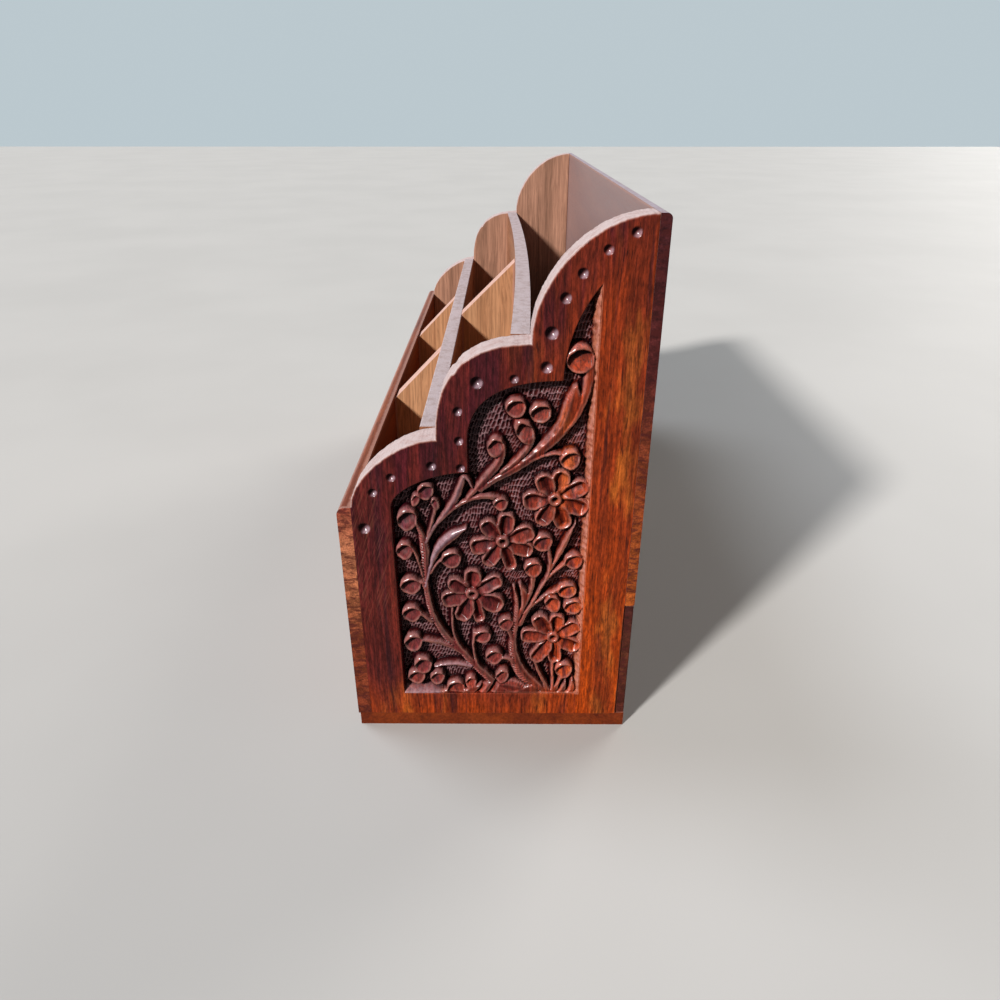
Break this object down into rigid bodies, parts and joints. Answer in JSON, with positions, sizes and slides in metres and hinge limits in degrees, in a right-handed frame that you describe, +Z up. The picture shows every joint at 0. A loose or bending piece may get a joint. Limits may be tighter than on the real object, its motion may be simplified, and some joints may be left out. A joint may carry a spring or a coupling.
{
  "type": "desk letter rack",
  "caption": "Stepped wooden envelope rack with scalloped, carved ends, divided letter slots and a drawer under them that slides out on the tall side.",
  "frame": {"origin": "on the table, at the middle of the base's underside, halfway between the outer faces of the low and the tall side", "axes": "+X along the rack to the end that the picture shows, -Y to the low side, +Y to the tall side where the drawer opens, +Z up"},
  "size_m": [0.254, 0.09, 0.1395],
  "materials": {
    "carved_wood": "semi-gloss lacquered red-brown hardwood with upright grain",
    "front_wood": "semi-gloss lacquered red-brown hardwood",
    "back_wood": "semi-gloss lacquered red-brown hardwood",
    "divider_wood": "satin red-brown hardwood, rough sawn pale top edges",
    "partition_wood": "satin yellow-brown hardwood",
    "base_wood": "satin red-brown hardwood",
    "drawer_wood": "satin dark brown hardwood",
    "drawer_box_wood": "plain unfinished pale hardwood",
    "brass": "polished, lightly tarnished",
    "steel": "plain"
  },
  "bodies": {
    "rack": {"right_end_panel": "carved_wood", "left_end_panel": "carved_wood", "front_panel": "front_wood", "back_panel": "back_wood", "front_divider": "divider_wood", "rear_divider": "divider_wood", "base_board": "base_wood", "compartment_floor": "base_wood", "front_partition_right": "partition_wood", "front_partition_left": "partition_wood", "middle_partition": "partition_wood", "front_panel_pins": "steel", "back_panel_pins": "steel", "base_screws": "steel"},
    "drawer": {"drawer_face": "drawer_wood", "drawer_right_side": "drawer_box_wood", "drawer_left_side": "drawer_box_wood", "drawer_inner_end": "drawer_box_wood", "drawer_bottom": "drawer_box_wood", "drawer_knob": "brass", "knob_screw": "steel"}
  },
  "joints": [
    {"name": "drawer_slide", "type": "slide", "parent": "rack", "child": "drawer", "axis": [0, 1, 0], "range_m": [0, 0.06]}
  ]
}
